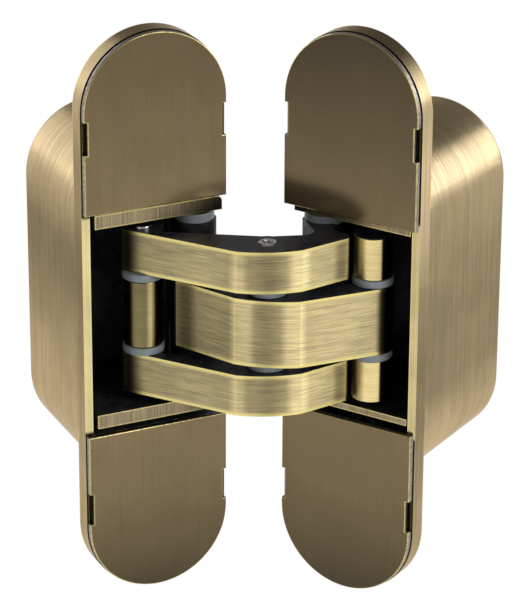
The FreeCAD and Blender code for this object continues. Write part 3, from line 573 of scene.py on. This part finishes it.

# Painted light and shade on the covers, the housings' bodies and the flanges' sides: how their tone follows
# the height on each side, in millimetres from the middle.
COVER_PAINTED_LIGHT = {
    "left": [(-57, 0.30), (-48, 0.62), (-34, 0.98), (-20, 1.22), (24, 1.06), (42, 0.82), (57, 0.62)],
    "right": [(-57, 0.28), (-48, 0.57), (-34, 1.0), (-20, 1.12), (24, 0.94), (42, 0.55), (57, 0.27)],
}
BODY_PAINTED_LIGHT = {
    "left": [(-36, 1.45), (-20, 1.18), (-12, 1.03), (-2, 0.70), (7, 0.47), (14, 0.47), (20, 0.90),
             (27, 1.55), (34, 1.25)],
    "right": [(-36, 1.45), (-22, 1.22), (-14, 0.72), (0, 0.69), (13, 0.85), (24, 1.05), (34, 1.15)],
}
FLANGE_PAINTED_LIGHT = {
    "left": [(-57, 1.1), (-40, 1.0), (-23, 1.1), (-8, 0.75), (0, 0.60), (8, 0.42), (16, 0.45),
             (24, 0.80), (32, 0.72), (38, 0.9), (45, 1.35), (52, 1.1), (56, 0.8)],
    "right": [(-57, 0.9), (-36, 0.95), (-23, 0.71), (-8, 0.57), (0, 0.66), (8, 0.87), (16, 1.41),
              (24, 1.73), (32, 1.88), (42, 1.4), (50, 0.7), (56, 0.5)],
}

# Grain directions: each number is small along the lines. The first three are in a plate's own
# axes, which a finish turns to, and the last two in the row's.
UPRIGHT = (1.0, 1.0, 0.008)
ROUND_THE_SIDE = (0.008, 1.0, 0.008)
DOWN_THE_BACK = (1.0, 0.008, 0.008)
ALONG_THE_ARM = (0.012, 0.012, 1.0)
LATHE_RINGS = (0.05, 0.05, 1.0)


def brushed_finishes():
    """The settings of each brushed finish, by the finish's name."""
    tone = colours()
    table = {}
    for side, turn in TURNS.items():
        table[f"cover_bronze_{side}"] = dict(
            bright=tone.cover_bronze, deep=tone.cover_deep, stretch=UPRIGHT, turn=-turn, rough=0.14,
            lines=0.55, shade=painted_height_light(COVER_PAINTED_LIGHT[side]), uneven=0.05, relief=0.10,
            wear_gain=0.9, band=0.22, cloud=0.05, metallic=0.55)
        table[f"strip_bronze_{side}"] = dict(
            bright=tone.strip_bronze, deep=tone.strip_deep, stretch=UPRIGHT, turn=-turn, rough=0.30,
            lines=0.9, shade=painted_place_light(STRIP_PAINTED_SHADE[side], ANY_FACING), band=0.12)
        housing = dict(bright=tone.housing_bronze, deep=tone.housing_deep, turn=-turn, rough=0.24,
                       lines=0.70)
        table[f"housing_bronze_{side}"] = dict(
            housing, stretch=ROUND_THE_SIDE, shade=painted_height_light(BODY_PAINTED_LIGHT[side]), cloud=0.08)
        table[f"flange_bronze_{side}"] = dict(
            housing, stretch=ROUND_THE_SIDE, shade=painted_height_light(FLANGE_PAINTED_LIGHT[side]), cloud=0.08)
        table[f"back_bronze_{side}"] = dict(housing, stretch=DOWN_THE_BACK, cloud=0.05)
        table[f"rail_brass_{side}"] = dict(
            bright=rgba(tone.rail_brass, RAIL_PAINTED_SHADE[side]), deep=tone.housing_bronze,
            stretch=UPRIGHT, turn=-turn, rough=0.15, lines=0.30,
            shade=painted_height_light(SHADE_UNDER_COVERS, mirrored=True))
        table[f"{side}_tube"] = dict(
            bright=tone.tube_brass, deep=tone.tube_deep, stretch=ALONG_THE_ARM, turn=0.0, rough=0.28,
            lines=0.45, shade=painted_place_light([], TUBE_FACING_LIGHT[side]), relief=0.15, band=0.1)
    for arm, spots, facings in (("outer", OUTER_PAINTED_SPOTS, OUTER_FACING_LIGHT),
                                ("middle", MIDDLE_PAINTED_SPOTS, MIDDLE_FACING_LIGHT)):
        # The arms' strong, wide wear is partly a painted highlight on their rims.
        table[f"{arm}_brass"] = dict(
            bright=tone.arm_brass, deep=tone.arm_deep, stretch=ALONG_THE_ARM, turn=0.0, rough=0.28,
            lines=0.85, shade=painted_place_light(spots, facings), wear_gain=2.4,
            reach=ARM_WEAR_AND_SHEEN * sizes().worn_width, band=0.15)
    return table


# The other finishes: how each is made, the name of its colour in HingeColours, and its
# roughness. The two patinas have a gloss instead.
PLAIN_FINISHES = {
    "worn_brass": (worn_metal, "worn_brass", 0.28),
    "cover_rim": (worn_metal, "cover_rim", 0.28),
    "cover_wall": (worn_metal, "cover_wall", 0.35),
    "black_patina": (patina_black, "black_patina", 0.25),
    "dull_patina": (patina_black, "black_patina", 0.04),
    "turned_steel": (lathed_metal, "steel", 0.18),
    "pale_polymer": (polymer, "washer", 0.42),
    "bush_polymer": (polymer, "bush", 0.45),
    "stop_rubber": (polymer, "rubber", 0.6),
}


def finish(name):
    """The material of that name, made on first use."""
    known = bpy.data.materials.get(name)
    if known:
        return known
    if name in PLAIN_FINISHES:
        make, tint, amount = PLAIN_FINISHES[name]
        return make(name, getattr(colours(), tint), amount)
    return brushed_metal(name, **brushed_finishes()[name])


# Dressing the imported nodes

# Points closer than the gap are one, and faces that meet at less than the flat angle are one.
MERGE_GAP = 0.0002 * MM
FLAT_ANGLE = math.radians(0.4)

# Edges sharper than this are rounded. The arms' facets meet at less, so the arms have a lower
# limit.
SHARP_ANGLE = math.radians(28)
FACET_ANGLE = math.radians(12)

# Edges sharper than this after the rounding keep a crease in their shading.
CREASE_ANGLE = math.radians(50)


def round_edges(work, width, sharp):
    """Rounds the sharp edges of a shape and gives the narrow faces that do so."""
    bmesh.ops.remove_doubles(work, verts=work.verts, dist=MERGE_GAP)
    bmesh.ops.dissolve_limit(work, angle_limit=FLAT_ANGLE, verts=work.verts, edges=work.edges)
    corners = [edge for edge in work.edges
               if edge.is_manifold and edge.calc_face_angle() > sharp]
    rounded = bmesh.ops.bevel(work, geom=corners, offset=width, offset_type="OFFSET",
                              segments=sizes().round_steps, profile=0.5, affect="EDGES",
                              clamp_overlap=True, loop_slide=True)
    work.normal_update()
    return set(rounded["faces"])


def add_object(name, data):
    item = bpy.data.objects.new(name, data)
    bpy.context.scene.collection.objects.link(item)
    return item


def dress(node, width, finishes, choose=None, rim=None, sharp=SHARP_ANGLE):
    """A copy of a node's shape with rounded edges. choose names each face's finish, and rim names
    it for the narrow faces that round an edge, which otherwise follow choose. Without either, the
    piece has its first finish all over."""
    source = frame["nodes"][node]
    mesh = bpy.data.meshes.new(f"{node}_dressed")
    work = bmesh.new()
    work.from_mesh(source.data)
    narrow = round_edges(work, width, sharp)
    for face in work.faces:
        face.smooth = True
        pick = rim if rim and face in narrow else choose
        if pick:
            face.material_index = finishes.index(pick(face.calc_center_median(), face.normal))
    for edge in work.edges:
        edge.smooth = not (edge.is_manifold and edge.calc_face_angle() > CREASE_ANGLE)
    work.to_mesh(mesh)
    work.free()
    for name in finishes:
        mesh.materials.append(finish(name))
    piece = add_object(f"{node}_dressed", mesh)
    weighted = piece.modifiers.new("even_normals", "WEIGHTED_NORMAL")
    weighted.keep_sharp = True
    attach(piece, source["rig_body"])
    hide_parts(node)


def plate_space(side):
    """Turns a point or direction of the row frame into the plate's own axes."""
    back = PLATES[side].inverted()
    turn = back.to_3x3()
    return (lambda point: back @ point), (lambda way: turn @ way)


def past_straight(height, half_height):
    """How far a height lies beyond the straight sides of an outline with round ends."""
    return max(abs(height) - (half_height - HALF_WIDTH), 0.0)


def plan_gap(point, axis):
    """How far a point lies from an upright axis."""
    return math.hypot(point.x - axis.x, point.y - axis.y)


# A lean is the y part of a face's normal: -1 looks out of the plate's front and 1 out of its back.
# The depths are y in the plate's axes. The slack keeps faces that lie at a limit on their own
# side of it.
SLACK = 0.1 * MM

COVER_FLAT_LEAN = -0.97
COVER_SIDE_LEAN = 0.3
COVER_RIM_DEPTH = -0.7 * MM


class HINGE_OT_covers(Operator):
    """Dress the four snap-on covers"""
    bl_idname = "hinge.covers"
    bl_label = "Covers"

    def execute(self, context):
        for side in SIDES:
            to_plate, way_to_plate = plate_space(side)
            front = f"cover_bronze_{side}"

            def face(point, normal):
                lean = way_to_plate(normal).y
                if lean < -COVER_SIDE_LEAN:
                    return front if lean < COVER_FLAT_LEAN else "cover_rim"
                side_wall = lean < COVER_SIDE_LEAN and to_plate(point).y < SLACK
                return "cover_wall" if side_wall else "black_patina"

            def rim(point, normal):
                return "cover_rim" if to_plate(point).y < COVER_RIM_DEPTH else "black_patina"

            for end in ("top", "bottom"):
                dress(f"{side}_cover_{end}", sizes().cover_round,
                      [front, "cover_rim", "black_patina", "cover_wall"], face, rim)
        return {"FINISHED"}


HOUSING_BACK_LEAN = 0.7
WINDOW_WALL_LEAN = 0.5
RAIL_LEAN = -0.6
RAIL_DEPTH = 0.3 * MM
RAIL_RIM_DEPTH = 0.5 * MM
HOUSING_BACK_DEPTH = 20.0 * MM


class HINGE_OT_housings(Operator):
    """Dress the two housings, brushed outside and black inside"""
    bl_idname = "hinge.housings"
    bl_label = "Housings"

    def execute(self, context):
        for side in SIDES:
            to_plate, way_to_plate = plate_space(side)
            body = f"housing_bronze_{side}"
            rail = f"rail_brass_{side}"
            back = f"back_bronze_{side}"
            flange = f"flange_bronze_{side}"

            def outer(point, normal):
                spot = to_plate(point)
                way = way_to_plate(normal)
                if spot.y < FLANGE + SLACK:
                    reach = math.hypot(spot.x, past_straight(spot.z, HALF_HEIGHT))
                    inside = reach < HALF_WIDTH - WALL - SLACK
                    if way.y > HOUSING_BACK_LEAN:
                        return back
                    return "black_patina" if inside and abs(way.y) < WINDOW_WALL_LEAN else flange
                if abs(way.y) > HOUSING_BACK_LEAN:
                    rear = way.y > 0 and spot.y > HOUSING_BACK_DEPTH
                    return back if rear else "black_patina"
                beyond = past_straight(spot.z, HOUSING_HALF_HEIGHT)
                outward = way.x * spot.x + way.z * math.copysign(beyond, spot.z)
                outside = math.hypot(spot.x, beyond) > HALF_WIDTH - WALL + SLACK
                return body if outward > 0 and outside else "black_patina"

            def face(point, normal):
                front = to_plate(point).y < RAIL_DEPTH and way_to_plate(normal).y < RAIL_LEAN
                return rail if front else outer(point, normal)

            def rim(point, normal):
                return "worn_brass" if to_plate(point).y < RAIL_RIM_DEPTH else outer(point, normal)

            dress(f"{side}_housing", sizes().edge_round,
                  [body, "black_patina", rail, "worn_brass", back, flange], face, rim)
        return {"FINISHED"}


STRIP_DEPTH = 3.0 * MM
STRIP_LEAN = -0.35
STRIP_RIM_LEAN = -0.2


class HINGE_OT_carriages(Operator):
    """Dress the carriages: brushed front strips, black everywhere else"""
    bl_idname = "hinge.carriages"
    bl_label = "Carriages"

    def execute(self, context):
        for side in SIDES:
            to_plate, way_to_plate = plate_space(side)
            strip = f"strip_bronze_{side}"

            def face(point, normal):
                front = to_plate(point).y < STRIP_DEPTH and way_to_plate(normal).y < STRIP_LEAN
                return strip if front else "black_patina"

            def rim(point, normal):
                front = to_plate(point).y < STRIP_DEPTH and way_to_plate(normal).y < STRIP_RIM_LEAN
                return "worn_brass" if front else "black_patina"

            dress(f"{side}_carriage", sizes().edge_round,
                  [strip, "black_patina", "worn_brass"], face, rim)
        return {"FINISHED"}


# A face is level where the upright part of its normal is at least this.
LEVEL = 0.75

BARREL_REACH = 4.3 * MM
# Round the far tip, the arms' edges are painted dark within this reach.
TIP_SHADE_REACH = 3.2 * MM
TUBE_REACH = 3.9 * MM

# An arm's rear faces and rims have normals whose y part is above these, in the row's axes.
ARM_REAR = -0.3
ARM_RIM_REAR = -0.05

# Each arm has a barrel on a joint's axis and a far tip round an eye, given in plan.
ARMS = (("middle", "main_fold", Vector((37.9, -25.0, 0.0)) * MM),
        ("outer", "right_fold", Vector((-5.15, -0.69, 0.0)) * MM))


class HINGE_OT_arms(Operator):
    """Dress the crossing arms: brushed along their faces, black above and below"""
    bl_idname = "hinge.arms"
    bl_label = "Arms"

    def execute(self, context):
        # The patina stays on the barrel. The edges round the far tip are black as well, as painted shade
        # that goes with the tip's painted shade.
        for name, joint, eye in ARMS:
            axis = pivot(joint)
            brass = f"{name}_brass"

            def face(point, normal):
                if abs(normal.z) > LEVEL:
                    return "black_patina"
                barrel = plan_gap(point, axis) < BARREL_REACH
                return "dull_patina" if barrel or normal.y > ARM_REAR else brass

            def rim(point, normal):
                barrel = plan_gap(point, axis) < BARREL_REACH
                tip = plan_gap(point, eye) < TIP_SHADE_REACH
                return "black_patina" if barrel or tip or normal.y > ARM_RIM_REAR else "worn_brass"

            dress(f"{name}_arm", sizes().edge_round,
                  [brass, "black_patina", "worn_brass", "dull_patina"], face, rim, FACET_ANGLE)
        return {"FINISHED"}


class HINGE_OT_links(Operator):
    """Dress the two links with their tubes"""
    bl_idname = "hinge.links"
    bl_label = "Links"

    def execute(self, context):
        for side in SIDES:
            axis = pivot(f"{side}_link_swing")
            tube = f"{side}_tube"

            def face(point, normal):
                near = plan_gap(point, axis) < TUBE_REACH
                return tube if near and abs(normal.z) < LEVEL else "black_patina"

            dress(f"{side}_link", sizes().edge_round, [tube, "black_patina"], face)
        return {"FINISHED"}


class HINGE_OT_pins(Operator):
    """Dress the seven pins and the clamp screws"""
    bl_idname = "hinge.pins"
    bl_label = "Pins and screws"

    def execute(self, context):
        for node in frame["nodes"]:
            # The steel anchor pins deep in the housings take the black patina as painted shade.
            if node.endswith("_anchor_pin"):
                dress(node, sizes().small_round, ["black_patina"])
            elif node.endswith(("_pin", "_screws")):
                dress(node, sizes().small_round, ["turned_steel"])
        return {"FINISHED"}


class HINGE_OT_bearings(Operator):
    """Dress the pale washers, the dark bushes and the stop pad"""
    bl_idname = "hinge.bearings"
    bl_label = "Washers and bushes"

    def execute(self, context):
        for node in frame["nodes"]:
            if node.endswith("_washers"):
                dress(node, 2 * sizes().small_round, ["pale_polymer"])
            elif node.endswith(("_bush", "_bushes")):
                dress(node, sizes().small_round, ["bush_polymer"])
        dress("right_stop_pad", sizes().small_round, ["stop_rubber"])
        return {"FINISHED"}


# Stage

# The camera as fitted to the photo: a long lens 0.6 m away that looks down on the hinge.
VIEW_WAY = Vector((0.40117, 0.83097, -0.38542)).normalized()
VIEW_TARGET = Vector((20.843, -7.199, 0.6935)) * MM
VIEW_DISTANCE = 596.6 * MM
VIEW_LENS = 191.42
VIEW_ROLL = math.radians(0.31)
SENSOR_WIDTH = 36.0
CLIP_START = 0.01
CLIP_END = 50.0

# The floor is a wide round sheet, in metres.
FLOOR_RADIUS = 6.0
FLOOR_SIDES = 96
FLOOR_MIDDLE_X = 0.02

# The studio round the hinge is pale below the horizon and grey above it. The span is how far up
# a direction points where the one fades into the other.
HORIZON_SPAN = (-0.05, 0.35)
STUDIO_LOW = (0.80, 0.80, 0.80, 1.0)
STUDIO_HIGH = (0.22, 0.22, 0.225, 1.0)

# Each lamp's name, its place from the point that the camera looks at, its width and height, all
# in metres, and its power in watts.
LAMPS = (("key_right", (0.95, -0.10, 0.22), 1.0, 0.45, 4.0),
         ("rim_left", (-0.50, 0.80, 0.35), 0.9, 0.7, 2.2),
         ("front_fill", (0.45, -0.85, 0.35), 0.6, 0.6, 4.0))


class HINGE_OT_stage(Operator):
    """Set the pale floor, the studio light and the camera"""
    bl_idname = "hinge.stage"
    bl_label = "Stage"

    def execute(self, context):
        self.add_floor()
        self.add_world()
        for settings in LAMPS:
            self.add_lamp(*settings)
        self.add_camera()
        context.scene.view_settings.view_transform = "Standard"
        return {"FINISHED"}

    def add_floor(self):
        mesh = bpy.data.meshes.new("floor")
        work = bmesh.new()
        bmesh.ops.create_circle(work, cap_ends=True, radius=FLOOR_RADIUS, segments=FLOOR_SIDES)
        work.to_mesh(mesh)
        work.free()
        floor = add_object("floor", mesh)
        floor.location = (FLOOR_MIDDLE_X, 0.0, CAD_BOX[0].z - sizes().floor_drop)
        material, tree, shader = new_material("floor")
        shader.inputs["Base Color"].default_value = rgba(colours().floor)
        shader.inputs["Roughness"].default_value = 0.9
        path = add_node(tree, "ShaderNodeLightPath", -300, 300)
        seen = maths(tree, "MAXIMUM", path.outputs["Is Camera Ray"], path.outputs["Is Glossy Ray"],
                     0, 300)
        seen = maths(tree, "MAXIMUM", seen, path.outputs["Is Transmission Ray"], 200, 300)
        glow = add_node(tree, "ShaderNodeEmission", 500, -300)
        glow.inputs["Strength"].default_value = 1.0
        mix = add_node(tree, "ShaderNodeMixShader", 1200, 200)
        link(tree, seen, mix.inputs[0])
        link(tree, shader.outputs[0], mix.inputs[1])
        link(tree, glow.outputs[0], mix.inputs[2])
        link(tree, mix.outputs[0], tree.nodes["Material Output"].inputs["Surface"])
        mesh.materials.append(material)

    def add_world(self):
        world = bpy.data.worlds.new("studio")
        world.use_nodes = True
        tree = world.node_tree
        background = tree.nodes["Background"]
        place = add_node(tree, "ShaderNodeTexCoord", -900, 0)
        split = add_node(tree, "ShaderNodeSeparateXYZ", -700, 0)
        link(tree, place.outputs["Generated"], split.inputs[0])
        level = spread(tree, split.outputs["Z"], HORIZON_SPAN, -500, 0)
        tint = blend_colour(tree, level, STUDIO_LOW, STUDIO_HIGH, -200, 0)
        link(tree, tint, background.inputs["Color"])
        background.inputs["Strength"].default_value = 1.0
        bpy.context.scene.world = world

    def add_lamp(self, name, offset, width, height, power):
        data = bpy.data.lights.new(name, "AREA")
        data.shape = "RECTANGLE"
        data.size = width
        data.size_y = height
        data.energy = power
        lamp = add_object(name, data)
        lamp.location = VIEW_TARGET + Vector(offset)
        lamp.rotation_euler = (VIEW_TARGET - lamp.location).to_track_quat("-Z", "Y").to_euler()

    def add_camera(self):
        lens = bpy.data.cameras.new("camera")
        lens.lens = VIEW_LENS
        lens.sensor_width = SENSOR_WIDTH
        lens.sensor_fit = "AUTO"
        lens.clip_start = CLIP_START
        lens.clip_end = CLIP_END
        camera = add_object("camera", lens)
        right = VIEW_WAY.cross(Vector((0, 0, 1))).normalized()
        up = right.cross(VIEW_WAY).normalized()
        across = right * math.cos(VIEW_ROLL) + up * math.sin(VIEW_ROLL)
        upward = across.cross(VIEW_WAY).normalized()
        turn = Matrix((across, upward, -VIEW_WAY)).transposed().to_4x4()
        camera.matrix_world = Matrix.Translation(VIEW_TARGET - VIEW_WAY * VIEW_DISTANCE) @ turn
        bpy.context.scene.camera = camera


class HINGE_PT_panel(Panel):
    """Lists the hinge's pieces and their settings"""
    bl_idname = "HINGE_PT_panel"
    bl_label = "Door hinge"
    bl_space_type = "VIEW_3D"
    bl_region_type = "UI"
    bl_category = "Hinge"

    def draw(self, context):
        column = self.layout.column()
        for operator in OPERATORS:
            column.operator(operator.bl_idname)
        for group in (context.scene.hinge_sizes, context.scene.hinge_colours):
            for name in group.__annotations__:
                column.prop(group, name)


OPERATORS = (HINGE_OT_covers, HINGE_OT_housings, HINGE_OT_carriages, HINGE_OT_arms, HINGE_OT_links,
             HINGE_OT_pins, HINGE_OT_bearings, HINGE_OT_stage)
CLASSES = (HingeSizes, HingeColours) + OPERATORS + (HINGE_PT_panel,)


def register():
    for item in CLASSES:
        bpy.utils.register_class(item)
    bpy.types.Scene.hinge_sizes = PointerProperty(type=HingeSizes)
    bpy.types.Scene.hinge_colours = PointerProperty(type=HingeColours)


def unregister():
    del bpy.types.Scene.hinge_colours
    del bpy.types.Scene.hinge_sizes
    for item in reversed(CLASSES):
        bpy.utils.unregister_class(item)


def main():
    register()
    bpy.ops.hinge.covers()
    bpy.ops.hinge.housings()
    bpy.ops.hinge.carriages()
    bpy.ops.hinge.arms()
    bpy.ops.hinge.links()
    bpy.ops.hinge.pins()
    bpy.ops.hinge.bearings()
    bpy.ops.hinge.stage()


if __name__ == "__main__":
    main()
